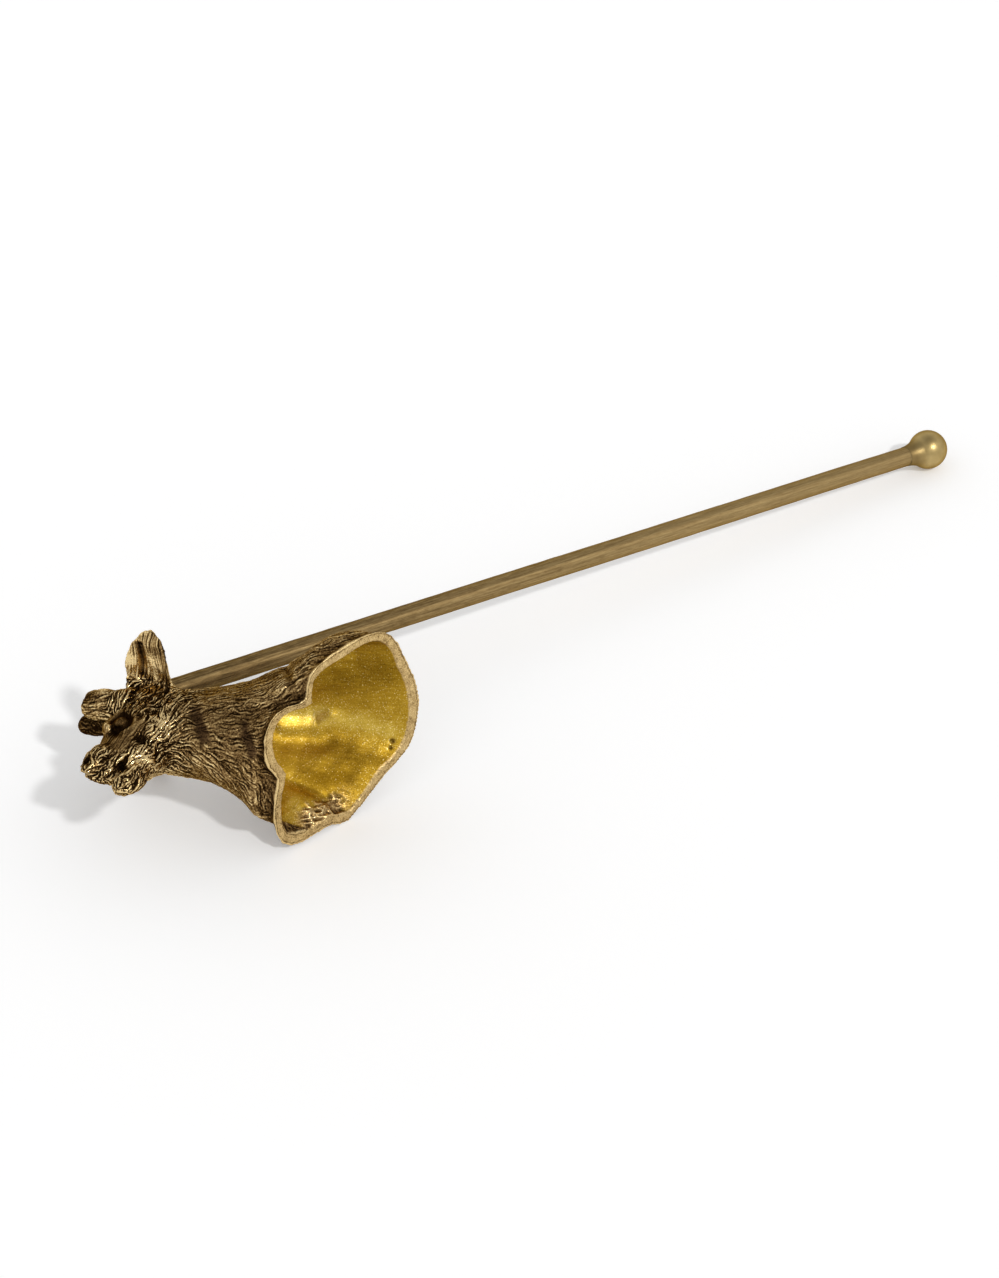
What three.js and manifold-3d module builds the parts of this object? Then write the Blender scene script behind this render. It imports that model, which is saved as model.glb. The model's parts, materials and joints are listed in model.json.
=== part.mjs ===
// A candle snuffer: a hollow cast giraffe bust whose open neck is the bell that covers the flame,
// on a straight turned rod with a ball at its far end. It lies on its side, as it is left on a table.
import * as THREE from 'three';
import { mergeVertices } from 'three/addons/utils/BufferGeometryUtils.js';
import Module from 'manifold-3d';

const wasm = await Module();
wasm.setup();

// Driving dimensions, in millimetres and degrees. The bust is drawn standing on its rim:
// +X is where the giraffe looks, +Y is its left side and +Z is up from the rim.
const RIM_HALF_LENGTH = 20.8; // rim centre to the chest or the withers, before the folds
const RIM_HALF_WIDTH = 20.6; // rim centre to either side, before the folds
const RIM_LAND = 2.2; // width of the flat cut edge
const NECK_WALL = 2.6; // wall of the neck, measured across its rings
const NECK_TOP_X = 28.5; // where the neck's centre line ends, inside the skull
const NECK_TOP_Z = 27.5;
const NECK_TOP_HALF_LENGTH = 10.6;
const NECK_TOP_HALF_WIDTH = 8.4;
const NECK_LEAN = 46; // lean of the rings at the top of the neck
const LEAN_REACHED = 0.75; // share of the neck where its rings have the full lean
const NECK_START_HANDLE = { x: 0.16, z: 0.25 }; // the centre line's handles, as shares of its top
const NECK_END_HANDLE = { x: 0.6, z: 0.55 };
const NECK_FLARE = 1.5; // higher is a slimmer neck that flares later
const FOLD_FADE = 2.2; // higher ends the rim's folds lower on the neck
const CAVITY_TOP = 0.7; // share of the neck's centre line that is hollow
const CAVITY_DOME = 0.3; // share of it taken by the rounded end of the hollow
const WALL_REACHED = 0.3; // share of it where the wall has grown from the rim's land to its full depth

// Folds of the rim: the bearing in degrees (0 is forward, 90 is left), how far each one
// stands out or in, and half of its spread.
const RIM_FOLDS = [
  { bearing: 25, out: 1.8, spread: 16 },
  { bearing: 52, out: -4.8, spread: 10 },
  { bearing: 120, out: 3.0, spread: 18 },
  { bearing: -12, out: -2.4, spread: 11 },
  { bearing: -50, out: 6.6, spread: 19 },
  { bearing: -88, out: 1.9, spread: 8 },
  { bearing: -124, out: -2.6, spread: 19 },
];

// Swellings of the neck's outside: bearing and share of the neck's height, and their spreads.
const NECK_SWELLINGS = [
  { bearing: 114, out: 5.0, spread: 32, share: 0.22, reach: 0.17 },
  { bearing: -42, out: 3.6, spread: 36, share: 0.45, reach: 0.2 },
];

// The head, along an axis from the poll to the muzzle.
const POLL_X = 25.5;
const POLL_Z = 34;
const HEAD_PITCH = 22; // nose down
const HEAD_BACK = -8.5; // along the head's axis
const HEAD_FRONT = 29.4;
const HEAD_BACK_ROUND = 9;
const MUZZLE_ROUND = 7;
const MUZZLE_SLOPE = 0.3; // the nose stands forward of the chin
const MUZZLE_SLOPE_LENGTH = 12;
const HEAD_STATIONS = [
  { along: -8.5, halfWidth: 6.6, crown: 6.4, waist: 0, jaw: -8.0 },
  { along: 3, halfWidth: 8.0, crown: 7.4, waist: -0.5, jaw: -10.0 },
  { along: 13, halfWidth: 7.0, crown: 4.9, waist: -2.0, jaw: -12.2 },
  { along: 19, halfWidth: 5.1, crown: 3.2, waist: -3.5, jaw: -12.2 },
  { along: 25, halfWidth: 3.4, crown: 2.6, waist: -3.8, jaw: -11.3 },
  { along: 30, halfWidth: 1.4, crown: 2.8, waist: -2.6, jaw: -10.4 },
];
const JAW_TAPER = 0.35; // how much narrower the jaw is at its underside

const EYE_RADIUS = 2.0;
const EYE_ALONG = 14.4;
const EYE_SIDE = 5.7;
const EYE_UP = -0.5;
const MOUTH_UP = -8.2; // height of the lips' line from the head's axis
const MOUTH_BACK = 25.2; // where the corners of the mouth lie along the head
const MOUTH_GAPE = 0.9;
const MOUTH_SAG = 0.2; // share of the gape that lies under the lips' line

// Rounded forms of the face, each an ellipsoid set along, aside and up from the poll.
const BROW = {
  length: 9, width: 3.4, height: 3.4, along: EYE_ALONG - 0.8, side: EYE_SIDE - 1, up: EYE_UP + EYE_RADIUS,
};
const CHEEK = {
  length: 17, width: 7, height: 11, along: EYE_ALONG - 6, side: EYE_SIDE - 2.4, up: EYE_UP - 5.4,
};
const CHIN = { length: 11.4, width: 5.8, height: 4.6, along: HEAD_FRONT - 4.6, side: 0, up: MOUTH_UP - 1.6 };
const LIP = { length: 6.4, width: 5.2, height: 5, along: HEAD_FRONT - 5, side: 0.6, up: MOUTH_UP + 4.4 };
const NOSE = { length: 11, width: 5.4, height: 6, along: HEAD_FRONT - 5.2, side: 2.2, up: -0.6 };
const NOSTRIL = { length: 3, width: 1.5, height: 1.8, along: HEAD_FRONT - 1.2, up: 0 };
const NOSTRIL_OFF_MIDDLE = 1.5; // each nostril's middle, from the nose's own

const OSSICONE_HEIGHT = 9.4;
const OSSICONE_RADIUS = 3.4;
const OSSICONE_KNOB_RADIUS = 3.3;
const OSSICONE_ROOT_RADIUS = 4.3;
const OSSICONE_ROOT_DEPTH = 3; // sunk into the skull
const OSSICONE_ROOT_SPREAD = 0.85; // share of the root's radius that is left where it leaves the skull
const OSSICONE_CROWN = 0.72; // share of the knob's radius that is left where its top rounds over
const OSSICONE_SHARES = { leavesSkull: 0.04, shaftStarts: 0.32, shaftEnds: 0.53, knob: 0.79, crown: 0.96 };
const OSSICONE_ALONG = 5.6;
const OSSICONE_TILT = 11; // leaning forward from square to the head
// Both lean a little to the giraffe's right: splay is outward, in degrees. The right one is slimmer.
const LEFT_OSSICONE = { girth: 1, side: 4.1, up: 5.6, splay: -7 };
const RIGHT_OSSICONE = { girth: 0.7, side: 3.4, up: 6.8, splay: 9 };

const EAR_LENGTH = 15.2;
const EAR_HALF_WIDTH = 5.2;
const EAR_OUTLINE = [
  { share: 0, width: 0.94 },
  { share: 0.25, width: 1 },
  { share: 0.5, width: 1 },
  { share: 0.75, width: 0.86 },
  { share: 0.92, width: 0.58 },
  { share: 1, width: 0.2 },
];
const EAR_THICKNESS = 2.0;
const EAR_ROOT_THICKENING = 1.5; // how the thickness changes from the root to the tip
const EAR_TIP_THINNING = 0.6;
const EAR_CUP = 2.2; // depth of the hollow that faces forward
const EAR_CUP_BEFORE_ROOT = 0.18; // share of the hollow that is already there at the root
const EAR_BOW = 0.5; // how far its middle stands off a straight line, towards the horns
const EAR_X = 28.2;
const EAR_SIDE = 5.6;
const EAR_Z = 33.8;
const EAR_RISE = 2; // tip above the root
const EAR_SWEEP = 3; // tip behind the root
const EAR_FACING_DOWN = 25;

// The head is modelled by hand: its nose points a little to the left, and its right ear and horn
// stand off a true mirror of the left ones.
const RIGHT_SIDE_SHIFT = { x: -1, y: 0.8, z: 2.2 };

// The handle.
const ROD_DIAMETER = 5;
const ROD_LENGTH = 214.3; // between its two shoulders
const ROD_DROP = 8; // it runs back and down from the head
const ROD_SHOULDER_X = 20; // where its shoulder seats in the back of the head
const ROD_SHOULDER_Z = 41.7;
const TENON_DIAMETER = 3.4;
const TENON_LENGTH = 5;
const BALL_DIAMETER = 10;
const COLLAR_DIAMETER = 6;
const COLLAR_LENGTH = 1.2;
const COLLAR_HOLLOW = 0.25; // share of its widening that it has at half its length
const SEAT_CLEARANCE = 0.3; // between every seated pair of faces
const CHAMFER = 0.4;
const OCCIPUT_LENGTH = 15; // the swelling behind the ears that takes the rod
const OCCIPUT_WIDTH = 9.8;
const OCCIPUT_DEPTH = 11;
const OCCIPUT_DROP = 2.6; // its middle, under the rod's axis
const OCCIPUT_FORWARD = 4; // its middle, ahead of the rod's shoulder

const FINISHES = {
  cast: { color: '#8a6d3b', roughness: 0.45 },
  drawn: { color: '#a58a5c', roughness: 0.35 },
  turned: { color: '#b39b6d', roughness: 0.3 },
};

const RIM_SEGMENTS = 60;
const HEAD_SEGMENTS = 36;
const ROUND_SEGMENTS = 32;
const FEATURE_SEGMENTS = 16;
const CUT_OVERLAP = 1; // how far a cutting shape runs past the face that it opens
const WELD = 1e-4; // points closer than this are one point

const radians = THREE.MathUtils.degToRad;
const { lerp, smoothstep } = THREE.MathUtils;
const toFloats = (vectors) => new Float32Array(vectors.flatMap((v) => v.toArray()));

/** Turns a geometry's faces outward, whichever way round its rings were listed. */
function facingOut(geometry) {
  const position = geometry.getAttribute('position');
  const index = geometry.getIndex();
  const [a, b, c] = [new THREE.Vector3(), new THREE.Vector3(), new THREE.Vector3()];
  let volume = 0;
  for (let i = 0; i < index.count; i += 3) {
    a.fromBufferAttribute(position, index.getX(i));
    b.fromBufferAttribute(position, index.getX(i + 1));
    c.fromBufferAttribute(position, index.getX(i + 2));
    volume += a.dot(b.cross(c));
  }
  if (volume < 0) geometry.setIndex(Array.from(index.array).reverse());
  return geometry;
}

/** A closed skin through rings of equal point count, with a fan over each end. */
function loft(rings) {
  const count = rings[0].length;
  const points = rings.flat();
  const faces = [];
  for (let r = 0; r + 1 < rings.length; r += 1) {
    for (let i = 0; i < count; i += 1) {
      const next = (i + 1) % count;
      const low = r * count;
      const high = low + count;
      faces.push(low + i, low + next, high + next, low + i, high + next, high + i);
    }
  }
  for (const ring of [rings[0], rings.at(-1)]) {
    const centre = ring.reduce((sum, p) => sum.add(p), new THREE.Vector3()).divideScalar(count);
    const isFirst = ring === rings[0];
    const base = isFirst ? 0 : (rings.length - 1) * count;
    points.push(centre);
    for (let i = 0; i < count; i += 1) {
      const next = (i + 1) % count;
      const edge = isFirst ? [base + next, base + i] : [base + i, base + next];
      faces.push(...edge, points.length - 1);
    }
  }
  const geometry = new THREE.BufferGeometry();
  geometry.setAttribute('position', new THREE.BufferAttribute(toFloats(points), 3));
  geometry.setIndex(faces);
  return facingOut(geometry);
}

function mirrored(geometry) {
  return facingOut(geometry.clone().scale(1, -1, 1));
}

function bothSides(geometry) {
  return [geometry, mirrored(geometry)];
}

function onRightSide(geometry) {
  return mirrored(geometry).translate(RIGHT_SIDE_SHIFT.x, RIGHT_SIDE_SHIFT.y, RIGHT_SIDE_SHIFT.z);
}

function ellipsoid(length, width, height) {
  const ball = new THREE.SphereGeometry(0.5, FEATURE_SEGMENTS, FEATURE_SEGMENTS / 2);
  return ball.scale(length, width, height);
}

function bar(diameter, length) {
  return new THREE.CylinderGeometry(diameter / 2, diameter / 2, length, ROUND_SEGMENTS);
}

function toSolid(geometry) {
  const bare = geometry.clone();
  for (const name of ['normal', 'uv']) bare.deleteAttribute(name);
  const merged = mergeVertices(bare, WELD);
  return new wasm.Manifold(new wasm.Mesh({
    numProp: 3,
    vertProperties: Float32Array.from(merged.getAttribute('position').array),
    triVerts: Uint32Array.from(merged.getIndex().array),
  }));
}

function toGeometry(solid) {
  const { vertProperties, triVerts } = solid.getMesh();
  const geometry = new THREE.BufferGeometry();
  geometry.setAttribute('position', new THREE.BufferAttribute(vertProperties, 3));
  geometry.setIndex(new THREE.BufferAttribute(triVerts, 1));
  geometry.computeVertexNormals();
  return geometry;
}

/** How much a skin has closed in, at a share of the way into its rounded end. */
function roundedEnd(share) {
  const leastClosing = 0.05; // the last ring stays a small ring, for the fan over the end
  return Math.max(leastClosing, Math.sqrt(Math.max(0, 1 - share ** 2)));
}

/** A rounded hump, 1 at its middle, over a bearing in degrees. */
function hump(bearing, { bearing: middle, spread }) {
  const off = THREE.MathUtils.euclideanModulo(bearing - middle + 180, 360) - 180;
  return Math.exp(-((off / spread) ** 2));
}

/** How far the neck stands out from its plain oval, at a bearing and a share of its height. */
function neckRelief(bearing, share) {
  const fade = (1 - share) ** FOLD_FADE;
  const folds = RIM_FOLDS.map((fold) => fold.out * fade * hump(bearing, fold));
  const swellings = NECK_SWELLINGS.map((swell) => {
    const off = (share - swell.share) / swell.reach;
    return swell.out * Math.exp(-(off ** 2)) * hump(bearing, swell);
  });
  return [...folds, ...swellings].reduce((sum, out) => sum + out, 0);
}

const neckLine = new THREE.CubicBezierCurve3(
  new THREE.Vector3(0, 0, 0),
  new THREE.Vector3(NECK_TOP_X * NECK_START_HANDLE.x, 0, NECK_TOP_Z * NECK_START_HANDLE.z),
  new THREE.Vector3(NECK_TOP_X * NECK_END_HANDLE.x, 0, NECK_TOP_Z * NECK_END_HANDLE.z),
  new THREE.Vector3(NECK_TOP_X, 0, NECK_TOP_Z),
);

/** One ring of the neck: level at the rim, leaning with the neck towards the head. */
function neckRing(share, inset, closing = 1) {
  const centre = neckLine.getPoint(share);
  const lean = radians(NECK_LEAN) * smoothstep(share, 0, LEAN_REACHED);
  const flare = (1 - share) ** NECK_FLARE;
  const halfLength = lerp(NECK_TOP_HALF_LENGTH, RIM_HALF_LENGTH, flare);
  const halfWidth = lerp(NECK_TOP_HALF_WIDTH, RIM_HALF_WIDTH, flare);
  const ring = [];
  for (let i = 0; i < RIM_SEGMENTS; i += 1) {
    const turn = (i / RIM_SEGMENTS) * 2 * Math.PI;
    const oval = 1 / Math.hypot(Math.cos(turn) / halfLength, Math.sin(turn) / halfWidth);
    const relief = neckRelief(THREE.MathUtils.radToDeg(turn), share);
    const reach = (oval + relief - inset) * closing;
    const forward = reach * Math.cos(turn);
    const offset = new THREE.Vector3(
      forward * Math.cos(lean),
      reach * Math.sin(turn),
      -forward * Math.sin(lean),
    );
    ring.push(offset.add(centre));
  }
  return ring;
}

/** The hollow neck as one skin: up the cavity's inside, over the cut rim and up the outside. */
function neckShell() {
  const rings = [];
  const cavityRings = 10;
  for (let i = 0; i <= cavityRings; i += 1) {
    const share = CAVITY_TOP * Math.cos((i / cavityRings) * Math.PI / 2);
    const intoDome = Math.max(0, 1 - (CAVITY_TOP - share) / CAVITY_DOME);
    const closing = roundedEnd(intoDome);
    const isRim = i === cavityRings;
    const wall = isRim ? RIM_LAND : lerp(RIM_LAND, NECK_WALL, smoothstep(share, 0, WALL_REACHED));
    rings.push(neckRing(isRim ? 0 : share, wall, closing));
  }
  const outsideRings = 13;
  for (let i = 0; i <= outsideRings; i += 1) rings.push(neckRing(i / outsideRings, 0));
  return loft(rings);
}

const headFrame = new THREE.Matrix4()
  .makeTranslation(POLL_X, 0, POLL_Z)
  .multiply(new THREE.Matrix4().makeRotationY(radians(HEAD_PITCH)));

/** Sets a shape, drawn round its own middle, into the head: along, left and up from the poll. */
function inHead(geometry, along, left, up) {
  return geometry.translate(along, left, up).applyMatrix4(headFrame);
}

function skullAndMuzzle() {
  const profile = new THREE.CubicInterpolant(
    HEAD_STATIONS.map((s) => s.along),
    HEAD_STATIONS.flatMap((s) => [s.halfWidth, s.crown, s.waist, s.jaw]),
    4,
  );
  const middle = (HEAD_BACK + HEAD_FRONT) / 2;
  const ringCount = 22;
  const rings = [];
  for (let r = 0; r <= ringCount; r += 1) {
    const along = middle - (middle - HEAD_BACK) * Math.cos((r / ringCount) * Math.PI);
    const intoBack = Math.max(0, 1 - (along - HEAD_BACK) / HEAD_BACK_ROUND);
    const intoFront = Math.max(0, 1 - (HEAD_FRONT - along) / MUZZLE_ROUND);
    const closing = roundedEnd(Math.max(intoBack, intoFront));
    const slope = MUZZLE_SLOPE * smoothstep(along, HEAD_FRONT - MUZZLE_SLOPE_LENGTH, HEAD_FRONT);
    const [halfWidth, crown, waist, jaw] = profile.evaluate(along);
    const ring = [];
    for (let i = 0; i < HEAD_SEGMENTS; i += 1) {
      const turn = (i / HEAD_SEGMENTS) * 2 * Math.PI;
      const rise = Math.sin(turn);
      const taper = rise < 0 ? 1 - JAW_TAPER * rise ** 2 : 1;
      const side = halfWidth * taper * Math.cos(turn);
      const up = waist + closing * rise * (rise > 0 ? crown - waist : waist - jaw);
      ring.push(new THREE.Vector3(along + slope * up, side * closing, up).applyMatrix4(headFrame));
    }
    rings.push(ring);
  }
  return loft(rings);
}

/** One rounded form of the face, in its place on the left side or on the middle line. */
function faceForm({ length, width, height, along, side, up }) {
  return inHead(ellipsoid(length, width, height), along, side, up);
}

function faceForms() {
  const eye = new THREE.SphereGeometry(EYE_RADIUS, FEATURE_SEGMENTS, FEATURE_SEGMENTS);
  const paired = [inHead(eye, EYE_ALONG, EYE_SIDE, EYE_UP), faceForm(BROW), faceForm(CHEEK)];
  return [...paired.flatMap(bothSides), faceForm(CHIN), faceForm(LIP), faceForm(NOSE)];
}

/** The slit of the mouth: a thin lens, curved up at the corners, cut across the muzzle. */
function mouthCut() {
  const reach = HEAD_FRONT + 2 * CUT_OVERLAP - MOUTH_BACK;
  const lens = new THREE.Shape();
  lens.moveTo(0, 0);
  lens.quadraticCurveTo(reach / 2, MOUTH_GAPE, reach, MOUTH_GAPE / 2);
  lens.lineTo(reach, -MOUTH_GAPE / 2);
  lens.quadraticCurveTo(reach / 2, -MOUTH_GAPE * MOUTH_SAG, 0, 0);
  const width = LIP.width + CHIN.width; // more than the muzzle's, so that the slit runs right across
  const cut = new THREE.ExtrudeGeometry(lens, { depth: width, bevelEnabled: false, curveSegments: 6 });
  cut.translate(0, 0, -width / 2).rotateX(Math.PI / 2);
  return inHead(cut, MOUTH_BACK, 0, MOUTH_UP);
}

/** A blunt skin-covered horn: turned, with a root that spreads into the skull and a knob on top. */
function ossicone({ girth, side, up, splay }) {
  const top = OSSICONE_HEIGHT;
  const { leavesSkull, shaftStarts, shaftEnds, knob, crown } = OSSICONE_SHARES;
  const outline = new THREE.SplineCurve([
    new THREE.Vector2(OSSICONE_ROOT_RADIUS, -OSSICONE_ROOT_DEPTH),
    new THREE.Vector2(OSSICONE_ROOT_RADIUS * OSSICONE_ROOT_SPREAD, top * leavesSkull),
    new THREE.Vector2(OSSICONE_RADIUS, top * shaftStarts),
    new THREE.Vector2(OSSICONE_RADIUS, top * shaftEnds),
    new THREE.Vector2(OSSICONE_KNOB_RADIUS, top * knob),
    new THREE.Vector2(OSSICONE_KNOB_RADIUS * OSSICONE_CROWN, top * crown),
    new THREE.Vector2(0, top),
  ]).getPoints(14);
  const profile = [
    new THREE.Vector2(0, -OSSICONE_ROOT_DEPTH),
    ...outline.slice(0, -1),
    new THREE.Vector2(0, top),
  ];
  const horn = new THREE.LatheGeometry(profile, FEATURE_SEGMENTS + 2).scale(girth, 1, girth);
  horn.rotateX(radians(90 - splay)).rotateY(radians(OSSICONE_TILT));
  return inHead(horn, OSSICONE_ALONG, side, up);
}

/** A cupped leaf: crescent sections along the ear, broad at the root and closing at the tip. */
function ear() {
  const outline = new THREE.CubicInterpolant(
    EAR_OUTLINE.map((s) => s.share),
    EAR_OUTLINE.map((s) => s.width),
    1,
  );
  const across = 10;
  const ringCount = 12;
  const rings = [];
  for (let r = 0; r <= ringCount; r += 1) {
    const share = Math.sin((r / ringCount) * Math.PI / 2);
    const halfWidth = EAR_HALF_WIDTH * outline.evaluate(share)[0];
    const cup = EAR_CUP * Math.sin(Math.PI * Math.min(1, share + EAR_CUP_BEFORE_ROOT));
    const thickness = EAR_THICKNESS * lerp(EAR_ROOT_THICKENING, EAR_TIP_THINNING, share);
    const aside = EAR_BOW * Math.sin(Math.PI * share);
    const ring = [];
    for (const side of [0, 1]) {
      for (let i = 0; i < across; i += 1) {
        const u = side === 0 ? -1 + (2 * i) / across : 1 - (2 * i) / across;
        const bowed = -cup * (1 - u * u);
        const back = bowed - thickness * Math.sqrt(1 - u * u);
        const front = side === 0 ? back : bowed;
        ring.push(new THREE.Vector3(share * EAR_LENGTH, aside + u * halfWidth, front));
      }
    }
    rings.push(ring);
  }
  const along = new THREE.Vector3(
    -EAR_SWEEP,
    Math.sqrt(EAR_LENGTH ** 2 - EAR_RISE ** 2 - EAR_SWEEP ** 2),
    EAR_RISE,
  ).normalize();
  const down = radians(EAR_FACING_DOWN);
  const facing = new THREE.Vector3(Math.cos(down), 0, -Math.sin(down));
  facing.addScaledVector(along, -facing.dot(along)).normalize();
  const frame = new THREE.Matrix4().makeBasis(along, facing.clone().cross(along), facing);
  return loft(rings).applyMatrix4(frame).translate(EAR_X, EAR_SIDE, EAR_Z);
}

const rodBearing = new THREE.Vector3(-Math.cos(radians(ROD_DROP)), 0, -Math.sin(radians(ROD_DROP)));
const rodShoulder = new THREE.Vector3(ROD_SHOULDER_X, 0, ROD_SHOULDER_Z);

/** Lays a shape drawn up +Y from the rod's shoulder along the rod. */
function alongRod(geometry) {
  const turn = new THREE.Quaternion().setFromUnitVectors(new THREE.Vector3(0, 1, 0), rodBearing);
  return geometry.applyQuaternion(turn).translate(rodShoulder.x, rodShoulder.y, rodShoulder.z);
}

/** The swelling at the back of the head, wrapped round the rod's seat. */
function occiput() {
  const swelling = ellipsoid(OCCIPUT_WIDTH, OCCIPUT_LENGTH, OCCIPUT_DEPTH);
  return alongRod(swelling.translate(0, -OCCIPUT_FORWARD, 0)).translate(0, 0, -OCCIPUT_DROP);
}

/** The pocket in the back of the head: a mouth for the rod and a blind bore for its tenon. */
function rodSocket() {
  const mouthLength = OCCIPUT_LENGTH;
  const boreLength = TENON_LENGTH + SEAT_CLEARANCE;
  const mouth = bar(ROD_DIAMETER + 2 * SEAT_CLEARANCE, mouthLength);
  const bore = bar(TENON_DIAMETER + 2 * SEAT_CLEARANCE, boreLength + CUT_OVERLAP);
  return [
    alongRod(mouth.translate(0, mouthLength / 2 - SEAT_CLEARANCE, 0)),
    alongRod(bore.translate(0, (CUT_OVERLAP - boreLength) / 2, 0)),
  ];
}

function giraffeBust() {
  const horns = [ossicone(LEFT_OSSICONE), onRightSide(ossicone(RIGHT_OSSICONE))];
  const ears = [ear(), onRightSide(ear())];
  const joined = [skullAndMuzzle(), occiput(), ...faceForms(), ...horns, ...ears];
  const nostrilSides = [NOSE.side + NOSTRIL_OFF_MIDDLE, NOSE.side - NOSTRIL_OFF_MIDDLE];
  const nostrils = nostrilSides.map((side) => faceForm({ ...NOSTRIL, side }));
  const cuts = [mouthCut(), ...nostrils, ...rodSocket()];
  let bust = toSolid(neckShell());
  for (const form of joined) bust = bust.add(toSolid(form));
  for (const cut of cuts) bust = bust.subtract(toSolid(cut));
  return toGeometry(bust);
}

/** The rod with a tenon turned on each end; it stands up +Y from its lower shoulder. */
function handleRod() {
  const tenon = TENON_DIAMETER / 2;
  const radius = ROD_DIAMETER / 2;
  const outline = [
    [0, -TENON_LENGTH],
    [tenon - CHAMFER, -TENON_LENGTH],
    [tenon, CHAMFER - TENON_LENGTH],
    [tenon, 0],
    [radius, 0],
    [radius, ROD_LENGTH],
    [tenon, ROD_LENGTH],
    [tenon, ROD_LENGTH + TENON_LENGTH - CHAMFER],
    [tenon - CHAMFER, ROD_LENGTH + TENON_LENGTH],
    [0, ROD_LENGTH + TENON_LENGTH],
  ];
  const rod = new THREE.LatheGeometry(outline.map(([x, y]) => new THREE.Vector2(x, y)), ROUND_SEGMENTS);
  return alongRod(rod);
}

/** The ball: a turned sphere with a short hollowed neck that meets the rod, bored for the tenon. */
function ballFinial() {
  const bore = TENON_DIAMETER / 2 + SEAT_CLEARANCE;
  const boreDepth = TENON_LENGTH;
  const radius = BALL_DIAMETER / 2;
  const collar = COLLAR_DIAMETER / 2;
  const poleDrop = radius - Math.sqrt(radius ** 2 - collar ** 2);
  const centre = COLLAR_LENGTH + radius - poleDrop;
  const outline = [
    new THREE.Vector2(0, boreDepth),
    new THREE.Vector2(bore, boreDepth),
    new THREE.Vector2(bore, 0),
    new THREE.Vector2(ROD_DIAMETER / 2, 0),
    new THREE.Vector2(lerp(ROD_DIAMETER / 2, collar, COLLAR_HOLLOW), COLLAR_LENGTH / 2),
  ];
  const startAngle = Math.asin(collar / radius);
  const steps = 14;
  for (let i = 0; i <= steps; i += 1) {
    const angle = lerp(startAngle, Math.PI, i / steps);
    const across = i === steps ? 0 : radius * Math.sin(angle);
    outline.push(new THREE.Vector2(across, centre - radius * Math.cos(angle)));
  }
  const ball = new THREE.LatheGeometry(outline, ROUND_SEGMENTS);
  return { geometry: alongRod(ball.translate(0, ROD_LENGTH + SEAT_CLEARANCE, 0)), centre };
}

function lowest(points, up) {
  return points.reduce((low, p) => (p.dot(up) < low.dot(up) ? p : low));
}

/** The upward normal of the table under the object as it lies on its right ear, rim and ball. */
function tableNormal(bust, ballCentre) {
  const position = bust.getAttribute('position');
  const points = Array.from({ length: position.count },
    (_, i) => new THREE.Vector3().fromBufferAttribute(position, i));
  const rim = points.filter((p) => p.z < RIM_LAND);
  const rightEar = points.filter(
    (p) => p.z > EAR_Z - EAR_HALF_WIDTH && p.y < -EAR_SIDE - EAR_LENGTH / 3,
  );
  let up = new THREE.Vector3(0, 1, 0);
  const passes = 12;
  for (let pass = 0; pass < passes; pass += 1) {
    const onRim = lowest(rim, up);
    const onEar = lowest(rightEar, up);
    const onBall = ballCentre.clone().addScaledVector(up, -BALL_DIAMETER / 2);
    up = onEar.clone().sub(onRim).cross(onBall.sub(onRim)).normalize();
    if (up.y < 0) up.negate();
  }
  return up;
}

/** The turn that puts the table's normal up and the handle along +X. */
function lyingTurn(up) {
  const along = rodBearing.clone().addScaledVector(up, -rodBearing.dot(up)).normalize();
  const basis = new THREE.Matrix4().makeBasis(along, up.clone().cross(along), up);
  return new THREE.Quaternion().setFromRotationMatrix(basis.transpose());
}

function brass(finish) {
  return new THREE.MeshStandardMaterial({ ...finish, metalness: 1 });
}

function piece(name, geometry, material) {
  const mesh = new THREE.Mesh(geometry, material);
  mesh.name = name;
  return mesh;
}

const bustGeometry = giraffeBust();
const ball = ballFinial();
const ballReach = ROD_LENGTH + SEAT_CLEARANCE + ball.centre;
const ballCentre = rodShoulder.clone().addScaledVector(rodBearing, ballReach);

const lying = new THREE.Group();
lying.add(piece('giraffe_bust', bustGeometry, brass(FINISHES.cast)));
lying.add(piece('handle_rod', handleRod(), brass(FINISHES.drawn)));
lying.add(piece('ball_finial', ball.geometry, brass(FINISHES.turned)));
lying.quaternion.copy(lyingTurn(tableNormal(bustGeometry, ballCentre)));

// The origin is on the table, under the middle of the object.
const bounds = new THREE.Box3().setFromObject(lying, true);
const middle = bounds.getCenter(new THREE.Vector3());
lying.position.set(-middle.x, -middle.y, -bounds.min.z);

const snuffer = new THREE.Group();
snuffer.add(lying);
export default snuffer;
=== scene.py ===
"""Dresses the candle snuffer: an antiqued brass giraffe bust with a gilt hollow neck, a drawn brass rod
and a turned ball, lying on a pale studio floor."""

import json
import math

import bpy
import numpy as np
from mathutils import Matrix, Vector


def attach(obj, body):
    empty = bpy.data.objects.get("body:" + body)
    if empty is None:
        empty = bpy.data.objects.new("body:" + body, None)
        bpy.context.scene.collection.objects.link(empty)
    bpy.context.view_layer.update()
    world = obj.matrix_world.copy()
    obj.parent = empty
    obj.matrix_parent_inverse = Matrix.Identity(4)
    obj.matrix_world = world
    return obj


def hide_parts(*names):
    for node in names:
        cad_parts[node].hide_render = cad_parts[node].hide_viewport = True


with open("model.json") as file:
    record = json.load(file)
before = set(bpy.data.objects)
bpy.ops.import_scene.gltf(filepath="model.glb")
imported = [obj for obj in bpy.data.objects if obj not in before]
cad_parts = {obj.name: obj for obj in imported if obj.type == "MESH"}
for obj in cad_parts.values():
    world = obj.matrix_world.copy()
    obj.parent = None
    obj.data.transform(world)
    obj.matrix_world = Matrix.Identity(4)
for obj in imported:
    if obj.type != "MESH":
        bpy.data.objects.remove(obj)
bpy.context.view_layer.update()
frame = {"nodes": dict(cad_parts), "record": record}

MM = 0.001

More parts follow.
